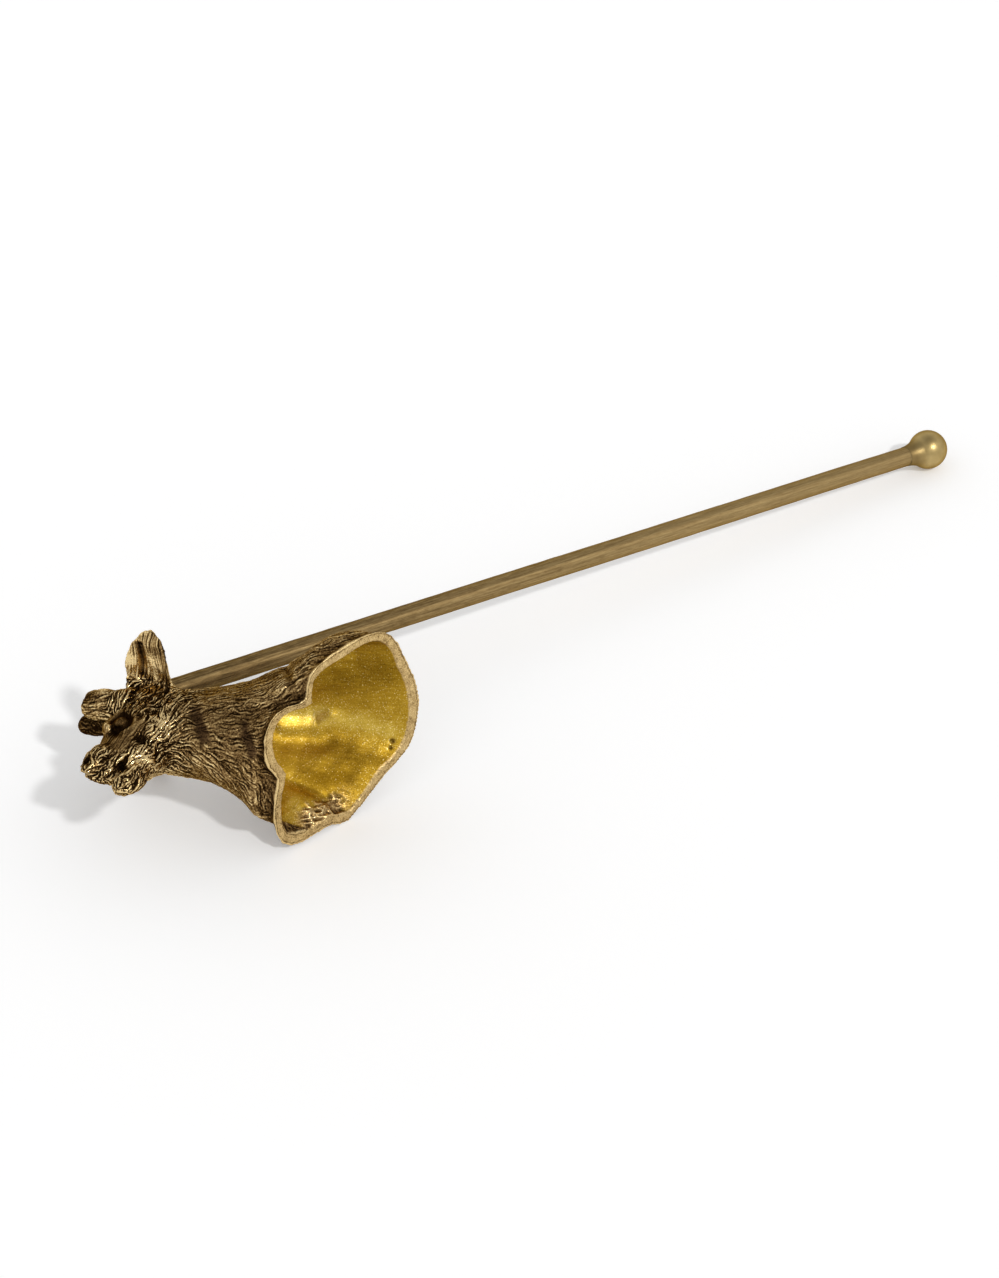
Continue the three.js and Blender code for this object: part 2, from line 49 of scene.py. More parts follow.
# The camera, in the row frame: an 85 mm lens on a 36 mm frame, looking down at the table.
CAMERA_AT = (-0.3112, -0.4657, 0.4439)
CAMERA_AZIMUTH = 32.04
CAMERA_ELEVATION = 38.0
CAMERA_LENS = 85
CAMERA_SENSOR = 36
CAMERA_NEAREST = 0.01

# The studio: a sun for the key, from the camera's right and its own side, how much the floor is lifted,
# and how bright the room is by height, from the horizon at 0 to straight overhead at 1.
TOWARDS_KEY = (0.46, -0.58, 0.77)
KEY_STRENGTH = 1.1
KEY_ANGLE = 4.0
FLOOR_LIFT = 0.155
DOME = ((0.0, 0.6), (0.3, 0.85), (0.62, 0.85), (0.86, 0.5), (1.0, 0.35))
FLOOR_RADIUS = 4

# The bust has axes of its own: forward where the giraffe looks, left, and up from its rim.
# Places and sizes on it are in millimetres along those axes, from the middle of the rim.
TENON_TIP = np.array((24.95, 0, 42.4))  # the hidden end of the rod in the head
NECK_TOP = np.array((28.5, 0, 27.5))
CAVITY_TOP = 0.7  # share of the neck's middle line that is hollow
POLL = np.array((25.5, 0, 34.0))
HEAD_PITCH = math.radians(22)
HORN_LEAN = math.radians(11)
EAR_ALONG = np.array((-0.2, 0.965, 0.13))

# Where each part of the bust begins and where it is fully there, as the ends of a smooth rise or fall.
EAR_OUT = (7.5, 10.5)
EAR_HEIGHT = (26, 29)
HORN_HEIGHT = (6.8, 9.0)  # from the head's axis
HORN_ALONG = (-1, 1.5)  # along the head's axis, like the bridge's two ends
HEAD_REACH = (25, 32)  # half the way forward with three quarters of the way up
BRIDGE_START = (11, 14)
BRIDGE_END = (24, 20)
BRIDGE_HEIGHT = (-6.5, -4.5)
LAND_HEIGHT = (0.45, 0.2)  # the flat land of the cut rim
LAND_FACING = (-0.5, -0.8)
HOLLOW_WIDTH = 25  # the furthest that the hollow's wall is from the neck's middle line, at the rim
HOLLOW_TAPER = 18  # how much nearer it is at the neck's top
HOLLOW_FACING = 0.05  # how squarely the wall looks at that line, at least

# The rod and the ball, in millimetres.
ROD_RADIUS = 2.5
ROD_RINGS = 240
TENON_RADIUS = 1.7
TENON_LENGTH = 5.0
DIE_MARK_CHANGE = 0.03  # how much the die marks change along the rod, for 1 across it
SOCKET_RADIUS = 3.1
SOCKET_START = 4.0  # from the tenon's tip to where the socket's mouth begins
SOCKET_GAP = 0.03  # between the rod and the casting drawn in to it
BALL_RADIUS = 5.0
BALL_NECK_ANGLE = math.radians(47)  # from the rod's axis, where the hollowed neck meets the ball
BALL_NECK_LENGTH = 3.8
BALL_NECK_HOLLOW = 1.8  # 1 for a straight cone
BALL_NECK_LIP = 0.07  # how far the neck's thin end stands off the rod
BALL_END = math.radians(178)  # the outline stops just short of the ball's pole
BALL_NECK_PAINTED_SHADE = (119.5, 116.5)  # along X, from where the painted shade in the ball's neck starts to where it is full

BRASS_EDGE_TINT = (0.50, 0.39, 0.27, 1)  # tarnish keeps the brass dark where it is seen at a slant

# Layers of noise are given by strength, size and a shift that keeps one layer unlike the next.
LUMPS = ((0.3, 5.2, 0), (0.16, 2.3, 50))
FACE_LUMPS = (0.2, 1.4, 9)
HOLLOW_FOLDS = (0.22, 6.0, 0)
HOLLOW_LUMPS = (0.08, 2.6, 20)
COAT_WAVES = ((0.6, 1.6, 31), (0.5, 0.8, 77))
COAT_BENDS = (0.25, 5.0, 0)
SPOT_RAGGED = (0.8, 1.3, 0)
CRUMPLE_RAGGED = (0.8, 1.1, 0)
CRUMPLE_GRAIN = (0.5, 0.5, 8)
LAND_LUMPS = (0.06, 1.8, 0)
DIE_MARKS = (0.035, 0.55, 0)
ROD_UNEVEN = (0.03, 3.2, 40)

VOXEL = 0.15  # face size of the sculpted bust
FAIR_PASSES = 14
SOFTEN_PASSES = 30
SOFTENED = {"head": 0.5, "inside": 0.45, "horn": 0.3}

# The coat: how it crinkles, how far its strands reach, how crumpled and how deep it is, on the neck and by
# how much more or less on other parts.
COAT = {
    "crinkle": {"neck": 1.15, "head": 0.15, "horn": 0.15, "ear": -0.85, "bridge": -0.9},
    "reach": {"neck": 1.4, "head": -0.3, "horn": -0.4, "ear": 1.1, "bridge": 0.7},
    "crumpled": {"neck": 0.4, "horn": 0.1, "bridge": -0.3, "ear": -0.3},
    "depth": {"neck": 0.11, "head": 0.06, "bridge": -0.1},
}
COAT_FROM_RIM = (0.1, 1.6)  # it fades out just above the rim
STRAND_STEPS = 25  # steps each way along a strand
FAN_MIDDLE = 6.0  # the coat fans out down the neck, to both sides of a line this far to the left
FAN_RATE = 0.09
LOCK_WIDTH = 0.29
LOCK_HEIGHT = 0.6
HAIR_WIDTH = 0.2
HAIR_HEIGHT = 0.7
COAT_CRUMPLE_WIDTH = 0.5
RIDGE_SHARE = 0.65  # ridges of the coat are rubbed lower than its grooves are deep

# The eyes, and round each eyeball a trench and two lids: distance from the ball, half width and height.
# Each lid rises between two heights from the eye's middle.
EYE = np.array((38.66, 5.7, 28.14))
EYE_RADIUS = 2.0
EYE_UP = -0.5  # from the head's axis
EYE_SET_BACK = 0.4
EYE_EDGE = 0.2
EYE_TRENCH = (0.2, 0.5, 0.5)
UPPER_LID = (1.4, 0.6, 0.45)
UPPER_LID_RISE = (0.2, 1.4)
LOWER_LID = (1.2, 0.5, 0.15)
LOWER_LID_RISE = (-0.4, -1.4)

# Hollows pressed into both sides of the head: place, radius and depth.
HOLLOWS = {
    "cheek": ((38.2, 5.4, 21.6), 1.4, 1.5),
    "mouth_corner": ((45.5, 2.4, 18.8), 1.1, 1.4),
    "eye_front": ((41.0, 5.3, 26.9), 1.1, 0.7),
    "eye_back": ((36.8, 6.6, 30.4), 1.0, 0.5),
    "nostril": ((50.7, 3.8, 24.0), 0.5, 0.4),
    "horn_corner": ((38.6, 6.4, 44.0), 2.0, 0.8),
}

# Creases scored along a path on both sides of the head: path, half width and depth.
CREASES = {
    "lips": (((45.5, 2.2, 18.8), (47.4, 1.4, 18.8), (50.6, 0.4, 19.6)), 0.35, 0.2),
    "jaw": (((45.5, 2.4, 18.8), (42.0, 4.4, 20.0), (38.6, 5.4, 21.4)), 0.4, 0.4),
    "throat": (((38.4, 1.4, 16.9), (35.4, 3.2, 18.4)), 0.35, 0.5),
    "ear": (((26.9, 9.8, 37.3), (26.5, 12.4, 37.6), (26.6, 16.8, 37.6)), 0.8, 1.0),
}

# Soft swellings on both sides of the head: place, radius and height.
SWELLINGS = {
    "horn_tuft": ((35.4, 7.3, 40.6), 1.9, 0.9),
    "jaw": ((41.0, 2.6, 17.2), 2.4, 0.4),
    "lid": ((41.2, 5.9, 28.8), 1.2, 0.35),
    "ear_front_lobe": ((28.4, 12.0, 39.2), 2.0, 0.35),
    "ear_back_lobe": ((24.9, 12.6, 34.4), 2.2, 0.3),
}

# Where handling has rubbed the casting bright, or left it dark, on both sides: place, radius and strength.
RUBBED = {
    "cheek": ((32.9, 6.6, 22.3), 2.4, 0.52),
    "cheek_low": ((35.4, 4.8, 20.6), 1.6, 0.22),
    "jaw": ((42.2, 2.8, 18.0), 2.6, 0.5),
    "jaw_back": ((40.0, 2.2, 16.8), 2.6, 0.3),
    "lower_lip": ((47.6, 0.4, 17.6), 1.2, 0.12),
    "lid": ((41.2, 5.9, 28.8), 0.9, 0.12),
    "nose": ((50.4, 2.6, 22.8), 3.0, -0.2),
    "temple": ((33.0, 8.0, 29.0), 4.0, -0.14),
    "bridge": ((41.0, 5.5, 25.5), 3.0, -0.1),
    "horn_tuft": ((34.7, 6.9, 41.3), 1.1, 0.55),
    "ear_front_lobe": ((28.4, 12.0, 39.2), 3.2, 0.65),
    "ear_back_lobe": ((24.9, 12.0, 34.2), 3.4, 0.42),
    "ear_tip": ((25.6, 18.6, 35.6), 2.6, 0.22),
    "ear_root": ((28.0, 8.8, 37.4), 2.2, 0.12),
    "ear_root_back": ((25.4, 9.0, 33.0), 2.4, 0.12),
}

# What makes up the wear all over, and what the face has beyond that.
WEAR = {"level": 0.46, "ridges": 0.15, "swellings": 0.07, "strands": 0.08}
FACE_WEAR = {"level": -0.08, "ridges": 0.1, "strands": 0.04}
FACE_CONTRAST = 0.4
FACE_DARK = 0.09
RIGHT_HORN_PAINTED_SHADE = 0.4  # painted shade: it lies under the left one, in its shadow
RIGHT_SIDE = (0.5, -1.5)
# Painted shade on the coat just above the rim, fading out between two heights.
RIM_PAINTED_SHADE = 0.1
RIM_PAINTED_SHADE_HEIGHT = (2.4, 0.3)
HOLLOW_DARK = 0.45
CREASE_DARK = 0.2
EYE_DARK = 0.4
EYE_DARK_REACH = 1.4  # in radii of the eyeball
PIT_DARK = 0.4
CRUMPLE_BRIGHT = 0.22
RIDGE_PASSES = 6  # of smoothing, to tell ridges from swellings
SWELLING_PASSES = 40  # of smoothing, to tell swellings from the form
EDGE_PASSES = 2  # of smoothing, at the edges of gilding and bare spots

# Where forms run into each other without a seam: place and radius.
BLEND_PASSES = 90
BLEND_SHARE = 0.6
BLENDS = (((27.6, 8.2, 35.0), 3.2), ((47.2, 1.0, 17.0), 2.6))

# Small shifts of the form: place, radius and shift.
NUDGES = {
    "left_ear_step": ((26.9, 18.6, 39.2), 1.3, (-0.4, 0, -0.7)),
    "right_ear_step": ((26.9, -18.6, 39.2), 1.3, (-0.4, 0, -0.7)),
    "left_ear_root_back": ((25.5, 8.9, 30.4), 2.0, (-0.9, 0, -0.8)),
    "left_ear_root_front": ((29.9, 7.4, 38.6), 1.6, (0.6, 0, 0.5)),
    "right_ear_tip": ((23.9, -18.6, 36.6), 5.0, (-1.8, 0.5, 2.2)),
    "lower_lip": ((48.4, -0.6, 16.0), 2.5, (1.3, 0.8, 1.0)),
    "neck_back": ((19.0, 9.0, 24.5), 4.0, (0.2, -0.7, -0.2)),
    "neck_back_low": ((14.5, 10.4, 18.4), 5.0, (0.1, -0.8, -0.3)),
}

# Bare spots of the giraffe's coat, where the casting is smoother and lower: path and half width.
SPOT_EDGE = 0.9
SPOT_SMOOTH = 0.5
SPOT_DEPTH = 0.2
SPOTS = (
    (((26.0, 8.5, 18.6), (27.2, 6.6, 14.8), (28.0, 4.6, 12.6)), 1.2),
    (((21.3, 8.1, 7.1), (22.5, 6.1, 4.3), (22.8, 3.6, 2.6)), 1.2),
    (((20.0, -9.4, 20.0), (22.0, -9.0, 15.5)), 1.5),
    (((9.0, -14.0, 14.0), (12.5, -13.6, 10.0)), 1.6),
    (((6.0, 12.6, 21.0), (9.0, 12.8, 17.5)), 1.3),
)

# The pleat beside the rim's left notch: path, half width and depth.
PLEAT = (((5.4, 13.4, 14.0), (8.2, 15.4, 8.0), (10.6, 15.6, 3.8)), 1.1, 0.9)

# Inside: the ridge across the end of the hollow, then small pits, and the crumpled patch that isn't gilt.
# Bearings are in degrees from forward, to the left.
RIDGE = ((4.0, -4.2, 17.8), (1.5, -4.6, 16.2), (-2.6, -4.9, 13.4), (-5.4, -3.0, 11.9))
RIDGE_WIDTH = 2.2
RIDGE_HEIGHT = 1.0
PITS = (((-14.2, -8.1, 1.7), 0.5), ((-13.4, -9.4, 1.4), 0.35), ((-15.6, 6.0, 2.6), 0.3))
CRUMPLE_BEARING = -72
CRUMPLE_SPREAD = 17
CRUMPLE_FULL = 1.8  # more than 1, so that the patch is whole round its middle
CRUMPLE_FOLD_WIDTH = 0.8
CRUMPLE_HEIGHT = 4.0
CRUMPLE_DEPTH = 0.16

# Painted light and shade in the gilding, standing in for its highlights, reflections and shadows: path,
# half width and strength.
GILT_PAINTED_LIGHT = {
    # ridge, band and pocket are painted highlight and reflection; shade, lower_wall and upper_wall are
    # painted shade.
    "ridge": (((2.7, -2.3, 17.5), (-0.8, -2.8, 15.3), (-3.0, -2.2, 13.8)), 2.2, 0.28),
    "band": (((-4.3, -2.8, 12.8), (-9.2, -3.7, 8.1), (-14.2, -6.0, 2.4)), 2.2, 0.2),
    "shade": (((-3.9, -7.8, 9.8), (-7.2, -11.1, 3.2), (-11.0, -12.0, 0.6)), 2.4, -0.16),
    "lower_wall": (((4.0, -12.8, 6.4), (-3.0, -13.4, 3.6)), 3.2, -0.28),
    "upper_wall": (((-7.0, 7.4, 9.6), (-13.0, 10.0, 3.0)), 5.5, -0.19),
    "pocket": (((10.5, -13.5, 6.7), (11.5, -15.1, 4.1)), 1.8, 0.14),
}

# The cut rim's land: how high its grain is, and how far its edge is felt inwards.
LAND_GRAIN = 0.03
LAND_EDGE_PASSES = 20


def smoothstep(low, high, values):
    """0 below low, 1 above high and a smooth rise between, or a fall where low is the higher one."""
    share = np.clip((values - low) / (high - low), 0, 1)
    return share * share * (3 - 2 * share)


def off_bearing(bearings, middle):
    """How far bearings lie from a middle one, in degrees from -180 to 180."""
    return (bearings - middle + 180) % 360 - 180


def unit(vectors):
    """Vectors, or one vector, at a length of 1."""
    return vectors / np.maximum(np.linalg.norm(vectors, axis=-1, keepdims=True), 1e-12)


def dots(a, b):
    return np.einsum("ij,ij->i", a, b)


class LatticeNoise:
    """Smooth noise in space, from -1 to 1, on a repeating lattice of seeded values."""

    SIZE = 48

    def __init__(self, seed):
        self.values = np.random.default_rng(seed).uniform(-1, 1, (self.SIZE,) * 3)

    def __call__(self, points, cell):
        scaled = points / cell
        base = np.floor(scaled).astype(int)
        part = scaled - base
        part = part * part * (3 - 2 * part)
        total = np.zeros(len(points))
        for corner in np.ndindex(2, 2, 2):
            i, j, k = ((base + corner) % self.SIZE).T
            total += np.prod(np.where(corner, part, 1 - part), axis=1) * self.values[i, j, k]
        return total

    def layered(self, points, *layers):
        """The sum of layers, each given by its strength, its size and its shift in the lattice."""
        return sum(strength * self(points + shift, size) for strength, size, shift in layers)


class BustAxes:
    """The bust's own axes in the row frame, found from the rim's face and the rod's axis."""

    def __init__(self):
        rim = next(m for m in frame["record"]["mounts"] if m["name"] == "rim_face")
        up = unit(-np.array(rim["axis"], float))
        rod = points_of(frame["nodes"]["handle_rod"].data)
        middle = rod.mean(axis=0)
        self.rod_back = np.linalg.svd(rod - middle, full_matrices=False)[2][0]
        self.rod_back *= np.sign(self.rod_back[0])
        self.rod_tip = middle + self.rod_back * ((rod - middle) @ self.rod_back).min()
        forward = unit(up * (self.rod_back @ up) - self.rod_back)
        self.turn = np.stack([forward, np.cross(up, forward), up])
        self.origin = self.rod_tip - TENON_TIP * MM @ self.turn

    def local(self, points):
        return (points - self.origin) @ self.turn.T / MM

    def row(self, points):
        return points * MM @ self.turn + self.origin


def points_of(mesh):
    flat = np.empty(len(mesh.vertices) * 3, np.float32)
    mesh.vertices.foreach_get("co", flat)
    return flat.reshape(-1, 3).astype(float)


def voxel_copy(node, voxel):
    """A new mesh over a CAD node's solid, made of small even faces."""
    source = bpy.data.objects.new("voxel_source", node.data.copy())
    bpy.context.scene.collection.objects.link(source)
    remesh = source.modifiers.new("voxels", "REMESH")
    remesh.mode = "VOXEL"
    remesh.voxel_size = voxel
    graph = bpy.context.evaluated_depsgraph_get()
    mesh = bpy.data.meshes.new_from_object(source.evaluated_get(graph))
    bpy.data.objects.remove(source)
    return mesh


class Clay:
    """A mesh as arrays that can be pushed about, in millimetres along the bust's axes."""

    MOST_NEIGHBOURS = 12
    FAIR_SHARES = (0.55, -0.57)  # a step in, and one out that makes up for it

    def __init__(self, mesh, axes):
        self.mesh = mesh
        self.axes = axes
        self.points = axes.local(points_of(mesh))
        edges = np.empty(len(mesh.edges) * 2, np.int32)
        mesh.edges.foreach_get("vertices", edges)
        self.edges = edges.reshape(-1, 2)
        self.edges = np.concatenate([self.edges, self.edges[:, ::-1]])
        self.valence = np.bincount(self.edges[:, 0], minlength=len(self.points))

    def around(self, values):
        """The mean of the neighbours' values, for one column or several."""
        if values.ndim > 1:
            return np.stack([self.around(column) for column in values.T], axis=1)
        total = np.bincount(self.edges[:, 0], values[self.edges[:, 1]], len(self.points))
        return total / np.maximum(self.valence, 1)

    def smoothed(self, values, times, share=0.6):
        for _ in range(times):
            values = values + share * (self.around(values) - values)
        return values

    def relax(self, times, share):
        """Smooths the points by a share of their own, from 0 to 1."""
        for _ in range(times):
            self.points += share[:, None] * (self.around(self.points) - self.points)

    def fair(self, times):
        """Smooths the points without shrinking what is thin."""
        for _ in range(times):
            for share in self.FAIR_SHARES:
                self.points += share * (self.around(self.points) - self.points)

    def normals(self):
        self.store()
        flat = np.empty(len(self.points) * 3, np.float32)
        self.mesh.vertex_normals.foreach_get("vector", flat)
        return flat.reshape(-1, 3).astype(float) @ self.axes.turn.T

    def store(self):
        self.mesh.vertices.foreach_set("co", self.axes.row(self.points).astype(np.float32).ravel())
        self.mesh.update()

    def near(self):
        """Each point's neighbours over edges and across faces, as a table that repeats the point itself."""
        corners = np.empty(len(self.mesh.loops), np.int32)
        self.mesh.loops.foreach_get("vertex_index", corners)
        starts = np.empty(len(self.mesh.polygons), np.int32)
        sizes = np.empty(len(self.mesh.polygons), np.int32)
        self.mesh.polygons.foreach_get("loop_start", starts)
        self.mesh.polygons.foreach_get("loop_total", sizes)
        quads = starts[sizes == 4][:, None] + np.arange(4)
        quads = corners[quads]
        across = np.concatenate([quads[:, [0, 2]], quads[:, [2, 0]], quads[:, [1, 3]], quads[:, [3, 1]]])
        pairs = np.unique(np.concatenate([self.edges, across]), axis=0)
        first = np.searchsorted(pairs[:, 0], np.arange(len(self.points)))
        place = np.arange(len(pairs)) - first[pairs[:, 0]]
        table = np.repeat(np.arange(len(self.points))[:, None], self.MOST_NEIGHBOURS, axis=1)
        kept = place < self.MOST_NEIGHBOURS
        table[pairs[kept, 0], place[kept]] = pairs[kept, 1]
        return table

    def attribute(self, name, values):
        layer = self.mesh.attributes.new(name, "FLOAT", "POINT")
        layer.data.foreach_set("value", values.astype(np.float32))


def distance_to_path(points, path):
    """How far each point is from a path of straight stretches."""
    path = np.array(path, float)
    reach = np.full(len(points), np.inf)
    for start, end in zip(path[:-1], path[1:]):
        run = end - start
        share = np.clip((points - start) @ run / (run @ run), 0, 1)
        reach = np.minimum(reach, np.linalg.norm(points - start - share[:, None] * run, axis=1))
    return reach


def hump(distance, width):
    """1 at no distance, and a smooth fall to nothing over about two widths."""
    return np.exp(-((distance / width) ** 2))


def dab(points, place, radius):
    """A hump round a place."""
    return hump(np.linalg.norm(points - place, axis=1), radius)


def stroke(points, path, width):
    """A hump along a path."""
    return hump(distance_to_path(points, path), width)


class BustForm:
    """What each point of the bust belongs to, as weights from 0 to 1, and which way its coat runs."""

    def __init__(self, points, normals):
        forward, left, up = points.T
        self.points = points
        self.normals = normals
        self.folded = np.stack([forward, np.abs(left), up], axis=1)
        from_poll = points - POLL
        self.head_along = from_poll[:, 0] * math.cos(HEAD_PITCH) - from_poll[:, 2] * math.sin(HEAD_PITCH)
        self.head_up = from_poll[:, 0] * math.sin(HEAD_PITCH) + from_poll[:, 2] * math.cos(HEAD_PITCH)
        self.bearing = np.degrees(np.arctan2(left, forward))
        self.ear = smoothstep(*EAR_OUT, np.abs(left)) * smoothstep(*EAR_HEIGHT, up)
        self.horn = smoothstep(*HORN_HEIGHT, self.head_up) * smoothstep(*HORN_ALONG, self.head_along)
        self.horn *= 1 - self.ear
        self.head = smoothstep(*HEAD_REACH, 0.5 * forward + 0.75 * up)
        self.head *= 1 - self.ear
        self.head *= 1 - self.horn
        self.bridge = smoothstep(*BRIDGE_START, self.head_along) * smoothstep(*BRIDGE_END, self.head_along)
        self.bridge *= smoothstep(*BRIDGE_HEIGHT, self.head_up) * self.head
        self.face = self.head - self.bridge
        self.inside = self.facing_the_hollow()
        self.land = smoothstep(*LAND_HEIGHT, up) * smoothstep(*LAND_FACING, normals[:, 2])
        self.outside = (1 - self.inside) * (1 - self.land)

    def by_part(self, neck=0.0, **others):
        """A value for each point: the neck's, with the others' share added where those parts are."""
        value = np.full(len(self.points), neck)
        for part, amount in others.items():
            value += amount * getattr(self, part)
        return value

    def facing_the_hollow(self):
        """1 on the inside of the neck, where the surface looks at the neck's middle line."""
        share = np.clip(self.points @ NECK_TOP / (NECK_TOP @ NECK_TOP), 0, CAVITY_TOP)
        towards = share[:, None] * NECK_TOP - self.points
        reach = np.linalg.norm(towards, axis=1)
        facing = dots(self.normals, towards) > HOLLOW_FACING * reach
        near = reach < HOLLOW_WIDTH - HOLLOW_TAPER * share
        return (facing & near & (self.ear == 0)).astype(float)

    def coat_flow(self, sway):
        """Unit vectors along the coat: up the neck, along the head, out along ears and horns.

        sway turns them, by an angle for each point.
        """
        head_line = np.array((math.cos(HEAD_PITCH), 0, -math.sin(HEAD_PITCH)))
        lean = HEAD_PITCH + HORN_LEAN
        horn_line = np.array((math.sin(lean), 0, math.cos(lean)))
        ear_line = np.tile(EAR_ALONG, (len(self.points), 1))
        ear_line[:, 1] *= np.where(self.points[:, 1] < 0, -1, 1)
        neck = np.clip(1 - self.head - self.ear - self.horn, 0, 1)[:, None]
        fanned = np.zeros(self.points.shape)
        fanned[:, 1] = np.clip(FAN_RATE * (FAN_MIDDLE - self.points[:, 1]), -1, 1)
        flow = neck * (unit(NECK_TOP) + fanned) + self.head[:, None] * head_line
        flow = flow + self.ear[:, None] * ear_line + self.horn[:, None] * horn_line
        flow = unit(flow - dots(flow, self.normals)[:, None] * self.normals)
        across = np.cross(self.normals, flow)
        return np.cos(sway)[:, None] * flow + np.sin(sway)[:, None] * across


def comb(clay, flow, seeds, reach):
    """Drags values over the surface along the flow, which draws them out into strands.

    reach is how far they carry at each point, in millimetres.
    """
    near = clay.near()
    normals = clay.normals().astype(np.float32)
    points = clay.points.astype(np.float32)
    total = seeds.copy()
    power = np.ones(len(points))
    for direction in (1, -1):
        here = np.arange(len(points))
        aim = points.copy()
        for step in range(1, STRAND_STEPS):
            aim += (direction * VOXEL * flow[here]).astype(np.float32)
            options = near[here]
            gaps = points[options] - aim[:, None]
            here = options[np.arange(len(here)), np.einsum("ijk,ijk->ij", gaps, gaps).argmin(axis=1)]
            aim -= dots(aim - points[here], normals[here])[:, None] * normals[here]
            weight = hump(step * VOXEL, reach)
            total += weight[:, None] * seeds[here]
            power += weight ** 2
    strands = total / np.sqrt(power)[:, None]
    return strands / strands.std(axis=0)


def coat_strands(clay, form):
    """The crinkled coat, as heights of about -2 to 1: locks with finer hairs and crumples on them."""
    wander = LatticeNoise(seed=5)
    points = clay.points
    sway = form.by_part(**COAT["crinkle"]) * wander.layered(points, *COAT_WAVES)
    flow = form.coat_flow(sway + wander.layered(points, COAT_BENDS))
    lock_seeds = LatticeNoise(seed=11)(points, LOCK_WIDTH)
    hair_seeds = LatticeNoise(seed=12)(points, HAIR_WIDTH)
    seeds = np.stack([lock_seeds, hair_seeds], axis=1)
    locks, hairs = comb(clay, flow, seeds, form.by_part(**COAT["reach"])).T
    crumples = 1 - 4 * np.abs(LatticeNoise(seed=13)(points, COAT_CRUMPLE_WIDTH))
    crumpled = np.clip(form.by_part(**COAT["crumpled"]), 0, 1)
    strands = LOCK_HEIGHT * locks + HAIR_HEIGHT * hairs + crumpled * crumples
    return np.where(strands > 0, RIDGE_SHARE * strands, strands)


def sculpt_forms(clay, form):
    """Lumps, swellings, hollows and creases, in millimetres out of the surface."""
    lumps = LatticeNoise(seed=3)
    out = form.outside * lumps.layered(clay.points, *LUMPS)
    out += form.face * lumps.layered(clay.points, FACE_LUMPS)
    for place, radius, height in SWELLINGS.values():
        out += height * dab(form.folded, place, radius)
    for place, radius, depth in HOLLOWS.values():
        out -= depth * dab(form.folded, place, radius)
    for path, width, depth in CREASES.values():
        out -= depth * stroke(form.folded, path, width)
    path, width, depth = PLEAT
    out -= form.outside * depth * stroke(clay.points, path, width)
    return out + eyelids(form)


def eyelids(form):
    """Each eyeball set back in a trench, under a heavy upper lid and over a thinner lower one."""
    reach = np.linalg.norm(form.folded - EYE, axis=1)
    above = form.head_up - EYE_UP

    def ring(distance, width, height):
        return height * hump(reach - EYE_RADIUS - distance, width)

    upper = ring(*UPPER_LID) * smoothstep(*UPPER_LID_RISE, above)
    lower = ring(*LOWER_LID) * smoothstep(*LOWER_LID_RISE, above)
    return upper + lower - (ring(*EYE_TRENCH) + EYE_SET_BACK * hump(reach, EYE_RADIUS))


def bare_spots(points):
    """1 on the bare spots of the coat, 0 elsewhere."""
    ragged = LatticeNoise(seed=21).layered(points, SPOT_RAGGED)
    weight = np.zeros(len(points))
    for path, width in SPOTS:
        reach = distance_to_path(points, path) + ragged
        weight = np.maximum(weight, smoothstep(width + SPOT_EDGE, width - SPOT_EDGE, reach))
    return weight


def blend_forms(clay, form):
    weight = sum(dab(form.folded, place, radius) for place, radius in BLENDS)
    clay.relax(BLEND_PASSES, BLEND_SHARE * weight)


def nudge_forms(clay):
    start = clay.points.copy()
    for place, radius, shift in NUDGES.values():
        clay.points += dab(start, place, radius)[:, None] * shift


def drawn_out(points, axis):
    """Places to take noise from, so that it comes out 2.5 times as long along an axis."""
    return points - 0.6 * np.outer(points @ axis, axis)


def hollow_folds(points):
    """The gilt inside: soft folds that run up the neck, the ridge at its end, and pits."""
    folds = LatticeNoise(seed=14)
    up_the_neck = drawn_out(points, unit(NECK_TOP))
    out = folds.layered(up_the_neck, HOLLOW_FOLDS) + folds.layered(points, HOLLOW_LUMPS)
    out += RIDGE_HEIGHT * stroke(points, RIDGE, RIDGE_WIDTH)
    for place, radius in PITS:
        out -= radius * dab(points, place, radius)
    return out


def crumpled_patch(points, form):
    """1 on the crumpled patch inside the rim that isn't gilt, 0 elsewhere."""
    ragged = points[:, 2] + LatticeNoise(seed=23).layered(points, CRUMPLE_RAGGED)
    patch = smoothstep(CRUMPLE_HEIGHT, CRUMPLE_HEIGHT / 2, ragged)
    spread = hump(off_bearing(form.bearing, CRUMPLE_BEARING), CRUMPLE_SPREAD)
    patch *= np.clip(CRUMPLE_FULL * spread, 0, 1)
    return form.inside * patch


def crinkles(points):
    """Wavy folds along the rim at the crumpled patch, as heights of about -2 to 1."""
    bearing = math.radians(CRUMPLE_BEARING)
    along = np.array((-math.sin(bearing), math.cos(bearing), 0))
    folds = LatticeNoise(seed=25)
    creased = np.abs(folds(drawn_out(points, along), CRUMPLE_FOLD_WIDTH))
    return 0.8 - 3 * creased + folds.layered(points, CRUMPLE_GRAIN)


def gilt_painted_light(points):
    """The gilding's painted light and shade, about 0.5."""
    tone = np.full(len(points), 0.5)
    for path, width, strength in GILT_PAINTED_LIGHT.values():
        tone += strength * stroke(points, path, width)
    return tone


def close_socket(clay, axes):
    """Draws the mouth of the socket in to the rod, as a soldered joint is filled."""
    tip = axes.local(axes.rod_tip[None])[0]
    back = axes.turn @ axes.rod_back
    from_tip = clay.points - tip
    along = from_tip @ back
    off_axis = from_tip - along[:, None] * back
    reach = np.linalg.norm(off_axis, axis=1)
    chosen = (along > SOCKET_START) & (reach < SOCKET_RADIUS)
    inwards = 1 - (ROD_RADIUS + SOCKET_GAP) / reach[chosen]
    clay.points[chosen] -= off_axis[chosen] * inwards[:, None]


